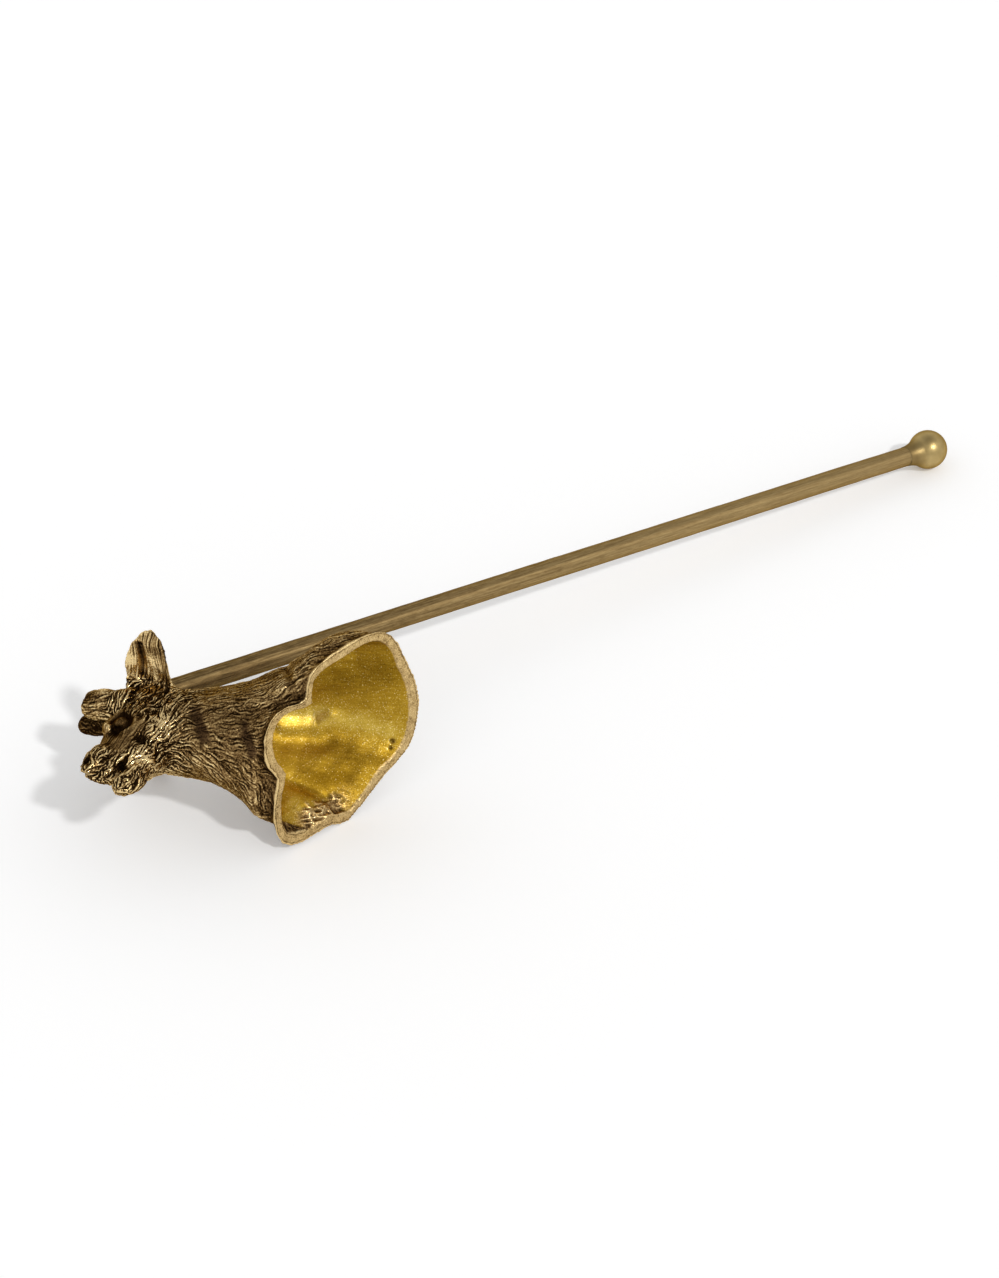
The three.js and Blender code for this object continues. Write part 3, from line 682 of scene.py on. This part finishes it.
def wear_and_painted_shade_of(clay, strands, form):
    """How rubbed the metal is, from 0 in the grooves to 1 on the ridges, with painted shade on the right
    horn and just above the rim.
    """
    ridges, swellings = standing_out(clay, form)
    by_ridges = WEAR["ridges"] + FACE_WEAR["ridges"] * form.face
    by_strands = WEAR["strands"] + FACE_WEAR["strands"] * form.face
    wear_and_painted_shade = WEAR["level"] + FACE_WEAR["level"] * form.face + by_ridges * ridges
    wear_and_painted_shade += WEAR["swellings"] * np.clip(swellings, -3, 2) + by_strands * form.outside * strands
    # Painted shade on the coat just above the rim.
    wear_and_painted_shade -= RIM_PAINTED_SHADE * form.outside * smoothstep(*RIM_PAINTED_SHADE_HEIGHT, form.points[:, 2])
    for place, radius, strength in RUBBED.values():
        wear_and_painted_shade += strength * dab(form.folded, place, radius)
    for place, radius, _ in HOLLOWS.values():
        wear_and_painted_shade -= HOLLOW_DARK * dab(form.folded, place, radius)
    for path, width, _ in CREASES.values():
        wear_and_painted_shade -= CREASE_DARK * stroke(form.folded, path, width)
    wear_and_painted_shade -= EYE_DARK * dab(form.folded, EYE, EYE_DARK_REACH * EYE_RADIUS)
    wear_and_painted_shade += form.face * (FACE_CONTRAST * (wear_and_painted_shade - 0.5) - FACE_DARK)
    # Painted shade on the right horn, which lies in the left one's shadow.
    wear_and_painted_shade -= RIGHT_HORN_PAINTED_SHADE * form.horn * smoothstep(*RIGHT_SIDE, form.points[:, 1])
    return np.clip(wear_and_painted_shade, 0, 1)


def standing_out(clay, form):
    """How far fine ridges and broad swellings stand out of the smoothed surface, about -2 to 2."""
    normals = clay.normals()
    soft = clay.smoothed(clay.points, RIDGE_PASSES)
    softer = clay.smoothed(soft, SWELLING_PASSES)
    ridges = dots(clay.points - soft, normals)
    swellings = dots(soft - softer, normals)
    coated = form.outside > 0.5
    return ridges / ridges[coated].std(), swellings / swellings[coated].std()


def relief(clay, form, strands, bare, crumple):
    """The casting's finished surface, in millimetres out of the smooth form."""
    from_eye = np.linalg.norm(form.folded - EYE, axis=1)
    eyeball = smoothstep(EYE_RADIUS + EYE_EDGE, EYE_RADIUS - EYE_EDGE, from_eye)
    depth = form.by_part(**COAT["depth"])
    depth *= (1 - eyeball) * smoothstep(*COAT_FROM_RIM, clay.points[:, 2])
    out = form.outside * (1 - SPOT_SMOOTH * bare) * depth * strands - SPOT_DEPTH * bare
    out += sculpt_forms(clay, form) * (1 - form.land)
    out += form.inside * hollow_folds(clay.points) + CRUMPLE_DEPTH * crumple * crinkles(clay.points)
    land_lumps = LatticeNoise(seed=24).layered(clay.points, LAND_LUMPS)
    out += form.land * (LAND_GRAIN * strands + land_lumps)
    return clay.smoothed(out, 1)


def giraffe_bust(axes):
    """The casting: the solid's form made clay, modelled and combed, and its wear kept on its points."""
    mesh = voxel_copy(frame["nodes"]["giraffe_bust"], VOXEL * MM)
    mesh.name = "giraffe_bust_cast"
    clay = Clay(mesh, axes)
    clay.fair(FAIR_PASSES)
    form = BustForm(clay.points, clay.normals())
    clay.relax(SOFTEN_PASSES, form.by_part(**SOFTENED))
    blend_forms(clay, form)
    nudge_forms(clay)
    form = BustForm(clay.points, clay.normals())

    bare = bare_spots(clay.points) * form.outside
    strands = coat_strands(clay, form)
    crumple = crumpled_patch(clay.points, form)
    clay.points += relief(clay, form, strands, bare, crumple)[:, None] * form.normals
    close_socket(clay, axes)

    pits = sum(dab(clay.points, place, radius) for place, radius in PITS)
    gilt = form.inside * (1 - crumple) * (1 - np.clip(pits, 0, 1))
    wear_and_painted_shade = wear_and_painted_shade_of(clay, strands, form) + CRUMPLE_BRIGHT * crumple - PIT_DARK * form.inside * pits
    # Wear, with painted shade on the right horn and above the rim.
    clay.attribute("wear_and_painted_shade", np.clip(wear_and_painted_shade, 0, 1))
    clay.attribute("gilt", clay.smoothed(gilt, EDGE_PASSES))
    clay.attribute("gilt_painted_light", gilt_painted_light(clay.points))
    clay.attribute("bare_spot", clay.smoothed(bare, EDGE_PASSES))
    clay.attribute("above_rim", clay.points[:, 2])
    clay.attribute("rim_edge", clay.smoothed(form.outside, LAND_EDGE_PASSES))
    clay.store()
    mesh.shade_smooth()
    return bpy.data.objects.new("giraffe_bust_cast", mesh)


class Nodes:
    """Short calls for building a node tree."""

    def __init__(self, tree):
        self.tree = tree

    def add(self, kind, inputs=None, **settings):
        node = self.tree.nodes.new(kind)
        for name, value in settings.items():
            setattr(node, name, value)
        for name, value in (inputs or {}).items():
            self.set(node.inputs[name], value)
        return node

    def set(self, socket, value):
        if isinstance(value, bpy.types.NodeSocket):
            self.tree.links.new(value, socket)
        else:
            socket.default_value = value

    def attribute(self, name):
        return self.add("ShaderNodeAttribute", attribute_name=name).outputs["Fac"]

    def place(self, scale=(1, 1, 1), rotation=(0, 0, 0)):
        """Object coordinates, with the size of one unit of texture given in metres."""
        coordinates = self.add("ShaderNodeTexCoord").outputs["Object"]
        inverse = tuple(1 / s for s in scale)
        turned = self.add("ShaderNodeMapping", {"Vector": coordinates, "Rotation": rotation})
        return self.add("ShaderNodeMapping", {"Vector": turned.outputs[0], "Scale": inverse}).outputs[0]

    def noise(self, place, detail=3.0, roughness=0.55):
        inputs = {"Vector": place, "Scale": 1.0, "Detail": detail, "Roughness": roughness}
        return self.add("ShaderNodeTexNoise", inputs).outputs["Fac"]

    def row_x(self):
        """The place along the row frame's X axis, in metres."""
        coordinates = self.add("ShaderNodeTexCoord").outputs["Object"]
        return self.add("ShaderNodeSeparateXYZ", {"Vector": coordinates}).outputs["X"]

    def math(self, operation, a, b):
        node = self.add("ShaderNodeMath", operation=operation)
        self.set(node.inputs[0], a)
        self.set(node.inputs[1], b)
        return node.outputs[0]

    def times(self, value, weight):
        return self.math("MULTIPLY", value, weight)

    def add_up(self, first, *others):
        """The sum of values, each given with its weight."""
        total = self.times(*first)
        for value, weight in others:
            total = self.math("ADD", total, self.times(value, weight))
        return total

    def between(self, value, low, high, to_low=0.0, to_high=1.0):
        """Takes low to to_low and high to to_high, and stops there."""
        inputs = {"Value": value, "From Min": low, "From Max": high, "To Min": to_low, "To Max": to_high}
        return self.add("ShaderNodeMapRange", inputs, clamp=True).outputs["Result"]

    def ramp(self, value, stops):
        node = self.add("ShaderNodeValToRGB", {"Fac": value})
        elements = node.color_ramp.elements
        while len(elements) < len(stops):
            elements.new(0.5)
        for element, (position, colour) in zip(elements, stops):
            element.position = position
            element.color = (*colour, 1)
        return node.outputs["Color"]

    def mix(self, share, a, b):
        node = self.add("ShaderNodeMix", data_type="RGBA")
        self.set(node.inputs[0], share)
        for socket, value in ((node.inputs[6], a), (node.inputs[7], b)):
            self.set(socket, (*value, 1) if isinstance(value, tuple) else value)
        return node.outputs[2]

    def mix_value(self, share, a, b):
        node = self.add("ShaderNodeMix", data_type="FLOAT")
        for socket, value in ((node.inputs[0], share), (node.inputs[2], a), (node.inputs[3], b)):
            self.set(socket, value)
        return node.outputs[0]

    def bump(self, height, distance, strength=1.0):
        inputs = {"Height": height, "Distance": distance, "Strength": strength}
        return self.add("ShaderNodeBump", inputs).outputs["Normal"]


def new_brass(name):
    """A plain metal, with its nodes and the shader that they feed."""
    material = bpy.data.materials.new(name)
    material.use_nodes = True
    shader = material.node_tree.nodes["Principled BSDF"]
    shader.inputs["Metallic"].default_value = 1.0
    shader.inputs["Specular Tint"].default_value = BRASS_EDGE_TINT
    return material, Nodes(material.node_tree), shader


def along_neck(axes):
    """The turn that lays the neck's line along X, for streaks that run up the neck."""
    line = Vector(unit(NECK_TOP) @ axes.turn)
    return tuple(line.rotation_difference(Vector((1, 0, 0))).to_euler())


def gilding(nodes, axes, fine):
    """The gilt hollow's colour and roughness: clouded, streaked up the neck, with painted light and shade
    from its points and painted glints as bright grains.
    """
    streaks = nodes.noise(nodes.place((5 * MM, 0.6 * MM, 0.6 * MM), along_neck(axes)), detail=4)
    clouds = nodes.noise(nodes.place((2.2 * MM,) * 3), detail=5)
    uneven = nodes.add_up((streaks, 0.3), (clouds, 0.2), (fine, 0.45))
    around_zero = nodes.math("SUBTRACT", uneven, 0.475)
    # The painted light and shade of the gilding, with its uneven tone added.
    tone = nodes.math("ADD", nodes.attribute("gilt_painted_light"), around_zero)
    gold = nodes.ramp(tone, (
        (0.20, (0.190, 0.101, 0.005)),
        (0.50, (0.445, 0.268, 0.022)),
        (0.80, (0.710, 0.500, 0.085)),
        (1.00, (0.940, 0.720, 0.230)),
    ))
    specks = nodes.noise(nodes.place((0.3 * MM,) * 3), detail=1)
    specks = nodes.math("ADD", specks, nodes.times(tone, 0.2))
    # Painted glints: pale specks in the gold, more of them where its painted light is brighter.
    painted_glints = nodes.between(specks, 0.76, 0.84)
    colour = nodes.mix(nodes.times(painted_glints, 0.7), gold, (0.95, 0.80, 0.40))
    roughness = nodes.between(tone, 0.3, 0.9, 0.54, 0.36)
    return colour, roughness


def cut_rim(nodes, fine):
    """The cut rim's colour and roughness: clouded sandy brass, with a painted highlight along its edge and
    a painted shade line by it.
    """
    stains = nodes.noise(nodes.place((1.7 * MM,) * 3), detail=4)
    ragged = nodes.times(nodes.math("SUBTRACT", stains, 0.5), 0.3)
    edge = nodes.math("ADD", nodes.attribute("rim_edge"), ragged)
    # Painted shade: a dark line on the land; painted highlight: a bright band at its edge.
    painted_shade_line = nodes.times(nodes.between(edge, 0.06, 0.15), nodes.between(edge, 0.3, 0.2))
    painted_edge_highlight = nodes.between(edge, 0.28, 0.4)
    tone = nodes.add_up((fine, 0.6), (stains, 0.4), (painted_shade_line, -0.13), (painted_edge_highlight, 0.12))
    colour = nodes.ramp(tone, (
        (0.34, (0.12, 0.070, 0.026)),
        (0.45, (0.46, 0.312, 0.128)),
        (0.64, (0.80, 0.595, 0.285)),
    ))
    roughness = nodes.between(tone, 0.35, 0.65, 0.5, 0.36)
    return colour, roughness


def cast_brass(axes):
    """Antiqued casting: dark grooves and bright ridges, with a gilt hollow and a bare cut rim, and painted
    light and shade in the hollow, along the rim and on the right horn.
    """
    material, nodes, shader = new_brass("antique_cast_brass")
    fine = nodes.noise(nodes.place((0.3 * MM,) * 3), detail=3)
    patchy = nodes.noise(nodes.place((2.4 * MM,) * 3), detail=3)
    cloudy = nodes.noise(nodes.place((7 * MM,) * 3))
    speckle = nodes.times(nodes.math("SUBTRACT", fine, 0.5), 0.8)
    clouds = nodes.times(nodes.math("SUBTRACT", nodes.math("ADD", patchy, cloudy), 1.0), 0.42)
    wear_and_painted_shade = nodes.math("ADD", nodes.attribute("wear_and_painted_shade"), nodes.math("ADD", speckle, clouds))
    coat = nodes.ramp(wear_and_painted_shade, (
        (0.08, (0.013, 0.006, 0.002)),
        (0.34, (0.074, 0.040, 0.013)),
        (0.54, (0.200, 0.117, 0.043)),
        (0.74, (0.445, 0.294, 0.120)),
        (0.95, (0.920, 0.695, 0.345)),
    ))
    coat_roughness = nodes.between(wear_and_painted_shade, 0.2, 0.9, 0.55, 0.19)

    bare_spot = nodes.attribute("bare_spot")
    spot_colour = nodes.ramp(wear_and_painted_shade, ((0.2, (0.016, 0.008, 0.004)), (0.7, (0.095, 0.050, 0.021))))
    coat = nodes.mix(nodes.times(bare_spot, 0.9), coat, spot_colour)

    gilt = nodes.attribute("gilt")
    gold, gold_roughness = gilding(nodes, axes, fine)
    colour = nodes.mix(gilt, coat, gold)
    roughness = nodes.mix_value(gilt, coat_roughness, gold_roughness)

    edge = nodes.math("ADD", nodes.attribute("above_rim"), speckle)
    land = nodes.between(edge, 0.42, 0.22)
    land_colour, land_roughness = cut_rim(nodes, fine)
    nodes.set(shader.inputs["Base Color"], nodes.mix(land, colour, land_colour))
    nodes.set(shader.inputs["Roughness"], nodes.mix_value(land, roughness, land_roughness))
    nodes.set(shader.inputs["Normal"], nodes.bump(fine, 0.12 * MM, 0.6))
    return material


def rod_brass(axes):
    """Drawn rod: satin, streaked along its length, and darker towards the bust."""
    material, nodes, shader = new_brass("drawn_brass_rod")
    lying = (0, math.asin(axes.rod_back[2]), 0)
    streaks = nodes.noise(nodes.place((10 * MM, 0.3 * MM, 0.3 * MM), lying), detail=4, roughness=0.65)
    stains = nodes.noise(nodes.place((2.5 * MM, 0.6 * MM, 0.6 * MM), lying), detail=5, roughness=0.7)
    bust_end, middle, ball_end = -95 * MM, 40 * MM, 110 * MM
    along = nodes.row_x()
    contrast = nodes.between(along, bust_end, ball_end, 1.1, 0.5)
    level = nodes.between(along, bust_end, middle, 0.35, 0.5)
    uneven = nodes.math("SUBTRACT", nodes.add_up((streaks, 0.6), (stains, 0.4)), 0.5)
    shade = nodes.math("ADD", nodes.times(uneven, contrast), level)
    colour = nodes.ramp(shade, (
        (0.20, (0.060, 0.037, 0.015)),
        (0.38, (0.215, 0.140, 0.056)),
        (0.54, (0.370, 0.258, 0.112)),
        (0.70, (0.540, 0.392, 0.184)),
    ))
    nodes.set(shader.inputs["Base Color"], colour)
    nodes.set(shader.inputs["Roughness"], nodes.between(shade, 0.3, 0.7, 0.5, 0.33))
    nodes.set(shader.inputs["Normal"], nodes.bump(streaks, 0.05 * MM, 0.6))
    return material


def ball_brass():
    """Turned ball: plain satin brass with faint clouding, darker and rougher in its hollowed neck, a
    painted shade for the dark that the neck reflects.
    """
    material, nodes, shader = new_brass("turned_brass_ball")
    clouds = nodes.noise(nodes.place((3 * MM,) * 3), detail=5)
    grain = nodes.noise(nodes.place((0.25 * MM,) * 3))
    colour = nodes.ramp(clouds, ((0.3, (0.40, 0.288, 0.114)), (0.7, (0.52, 0.385, 0.166))))
    shade_starts, shade_full = BALL_NECK_PAINTED_SHADE
    # Painted shade in the ball's hollowed neck, where it reflects the dark: darker and rougher.
    neck_painted_shade = nodes.between(nodes.row_x(), shade_starts * MM, shade_full * MM, 0.0, 0.75)
    satin = nodes.between(clouds, 0.3, 0.7, 0.37, 0.33)
    nodes.set(shader.inputs["Base Color"], nodes.mix(neck_painted_shade, colour, (0.20, 0.132, 0.050)))
    nodes.set(shader.inputs["Roughness"], nodes.mix_value(neck_painted_shade, satin, 0.55))
    nodes.set(shader.inputs["Normal"], nodes.bump(grain, 0.04 * MM, 0.5))
    return material


def spun(name, outline, start, along, segments=96):
    """A turned piece: an outline of (radius, distance) points in millimetres, spun round an axis."""
    across = unit(np.cross(along, (0.0, 1.0, 0.0)))
    beside = np.cross(along, across)
    turns = 2 * math.pi * np.arange(segments) / segments
    ring = np.outer(np.cos(turns), across) + np.outer(np.sin(turns), beside)
    corners = [start + (radius * ring + distance * along) * MM for radius, distance in outline]
    faces = []
    for low in range(0, (len(outline) - 1) * segments, segments):
        for step in range(segments):
            after = (step + 1) % segments
            faces.append((low + step, low + after, low + segments + after, low + segments + step))
    last = (len(outline) - 1) * segments
    faces.append(tuple(reversed(range(segments))))
    faces.append(tuple(range(last, last + segments)))
    mesh = bpy.data.meshes.new(name)
    mesh.from_pydata(np.concatenate(corners).tolist(), [], faces)
    mesh.shade_smooth()
    mesh.set_sharp_from_angle(angle=math.radians(40))
    return bpy.data.objects.new(name, mesh)


def rod_length(axes):
    """The rod's length over both tenons, in millimetres."""
    rod = points_of(frame["nodes"]["handle_rod"].data)
    return ((rod - axes.rod_tip) @ axes.rod_back).max() / MM


def handle_rod(axes):
    """The rod, drawn straight, with shallow lengthwise die marks and a tenon on each end."""
    length = rod_length(axes)
    first, last = TENON_LENGTH, length - TENON_LENGTH
    outline = [(TENON_RADIUS, 0), (TENON_RADIUS, first)]
    outline += [(ROD_RADIUS, distance) for distance in np.linspace(first, last, ROD_RINGS)]
    outline += [(TENON_RADIUS, last), (TENON_RADIUS, length)]
    rod = spun("handle_rod_drawn", outline, axes.rod_tip, axes.rod_back)
    points = points_of(rod.data)
    from_tip = (points - axes.rod_tip) / MM
    along = from_tip @ axes.rod_back
    off_axis = from_tip - along[:, None] * axes.rod_back
    marks = LatticeNoise(seed=8)
    lengthwise = off_axis + DIE_MARK_CHANGE * along[:, None] * axes.rod_back
    depth = marks.layered(lengthwise, DIE_MARKS) + marks.layered(from_tip, ROD_UNEVEN)
    tenons = np.linalg.norm(off_axis, axis=1) < (TENON_RADIUS + ROD_RADIUS) / 2
    depth[tenons] = 0
    points += depth[:, None] * unit(off_axis) * MM
    rod.data.vertices.foreach_set("co", points.astype(np.float32).ravel())
    return rod


def ball_finial(axes):
    """The ball, turned in one with a hollowed neck that runs out onto the rod, and bored for its tenon."""
    ball = points_of(frame["nodes"]["ball_finial"].data)
    shoulder = rod_length(axes) - TENON_LENGTH
    centre = ((ball - axes.rod_tip) @ axes.rod_back).max() / MM - BALL_RADIUS
    neck_end = centre - BALL_RADIUS * math.cos(BALL_NECK_ANGLE)
    neck_radius = BALL_RADIUS * math.sin(BALL_NECK_ANGLE)
    lip = ROD_RADIUS + BALL_NECK_LIP
    outline = [(TENON_RADIUS, shoulder + TENON_LENGTH), (TENON_RADIUS, shoulder), (ROD_RADIUS, shoulder)]
    for share in np.linspace(0, 0.95, 14):
        widening = (neck_radius - lip) * share ** BALL_NECK_HOLLOW
        outline.append((lip + widening, neck_end - BALL_NECK_LENGTH * (1 - share)))
    for angle in np.linspace(BALL_NECK_ANGLE, BALL_END, 44):
        outline.append((BALL_RADIUS * math.sin(angle), centre - BALL_RADIUS * math.cos(angle)))
    return spun("ball_finial_turned", outline, axes.rod_tip, axes.rod_back)


def studio_floor():
    """A white table. A little of its own light, for camera and mirror rays alone, takes it to white."""
    bpy.ops.mesh.primitive_circle_add(vertices=96, radius=FLOOR_RADIUS, fill_type="NGON")
    floor = bpy.context.object
    floor.name = "floor"
    material = bpy.data.materials.new("floor_white")
    material.use_nodes = True
    nodes = Nodes(material.node_tree)
    shader = material.node_tree.nodes["Principled BSDF"]
    shader.inputs["Base Color"].default_value = (0.93, 0.93, 0.93, 1)
    shader.inputs["Roughness"].default_value = 0.9
    shader.inputs["Specular IOR Level"].default_value = 0.1
    shader.inputs["Emission Color"].default_value = (1, 1, 1, 1)
    nodes.set(shader.inputs["Emission Strength"], nodes.times(seen_directly(nodes), FLOOR_LIFT))
    floor.data.materials.append(material)


def seen_directly(nodes):
    """1 for rays from the camera, from a mirror and through glass."""
    path = nodes.add("ShaderNodeLightPath").outputs
    mirrored = nodes.math("MAXIMUM", path["Is Glossy Ray"], path["Is Transmission Ray"])
    return nodes.math("MAXIMUM", path["Is Camera Ray"], mirrored)


def studio_light():
    """A high key from the front right, in a pale room that is brightest between floor and ceiling."""
    key = bpy.data.lights.new("key", "SUN")
    key.energy = KEY_STRENGTH
    key.angle = math.radians(KEY_ANGLE)
    lamp = bpy.data.objects.new("key", key)
    towards_light = Vector(TOWARDS_KEY)
    towards_light.rotate(Matrix.Rotation(math.radians(-CAMERA_AZIMUTH), 3, "Z"))
    lamp.rotation_mode = "QUATERNION"
    lamp.rotation_quaternion = towards_light.to_track_quat("Z", "Y")
    bpy.context.scene.collection.objects.link(lamp)

    world = bpy.data.worlds.new("studio")
    world.use_nodes = True
    bpy.context.scene.world = world
    nodes = Nodes(world.node_tree)
    background = world.node_tree.nodes["Background"]
    direction = nodes.add("ShaderNodeTexCoord").outputs["Generated"]
    height = nodes.add("ShaderNodeSeparateXYZ", {"Vector": direction}).outputs["Z"]
    dome = nodes.ramp(height, [(place, (bright,) * 3) for place, bright in DOME])
    camera_ray = nodes.add("ShaderNodeLightPath").outputs["Is Camera Ray"]
    nodes.set(background.inputs["Color"], nodes.mix(camera_ray, dome, (1.0, 1.0, 1.0)))


def studio_camera():
    camera = bpy.data.objects.new("camera", bpy.data.cameras.new("camera"))
    camera.data.lens = CAMERA_LENS
    camera.data.sensor_width = CAMERA_SENSOR
    camera.data.clip_start = CAMERA_NEAREST
    camera.location = CAMERA_AT
    camera.rotation_euler = (math.radians(90 - CAMERA_ELEVATION), 0, -math.radians(CAMERA_AZIMUTH))
    bpy.context.scene.collection.objects.link(camera)
    bpy.context.scene.camera = camera


def dress(piece, node, material):
    """Puts a finished piece in the place of its CAD node."""
    piece.data.materials.clear()
    piece.data.materials.append(material)
    bpy.context.scene.collection.objects.link(piece)
    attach(piece, "root")
    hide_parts(node)


axes = BustAxes()
dress(giraffe_bust(axes), "giraffe_bust", cast_brass(axes))
dress(handle_rod(axes), "handle_rod", rod_brass(axes))
dress(ball_finial(axes), "ball_finial", ball_brass())

studio_floor()
studio_light()
studio_camera()
bpy.context.scene.view_settings.view_transform = "Standard"
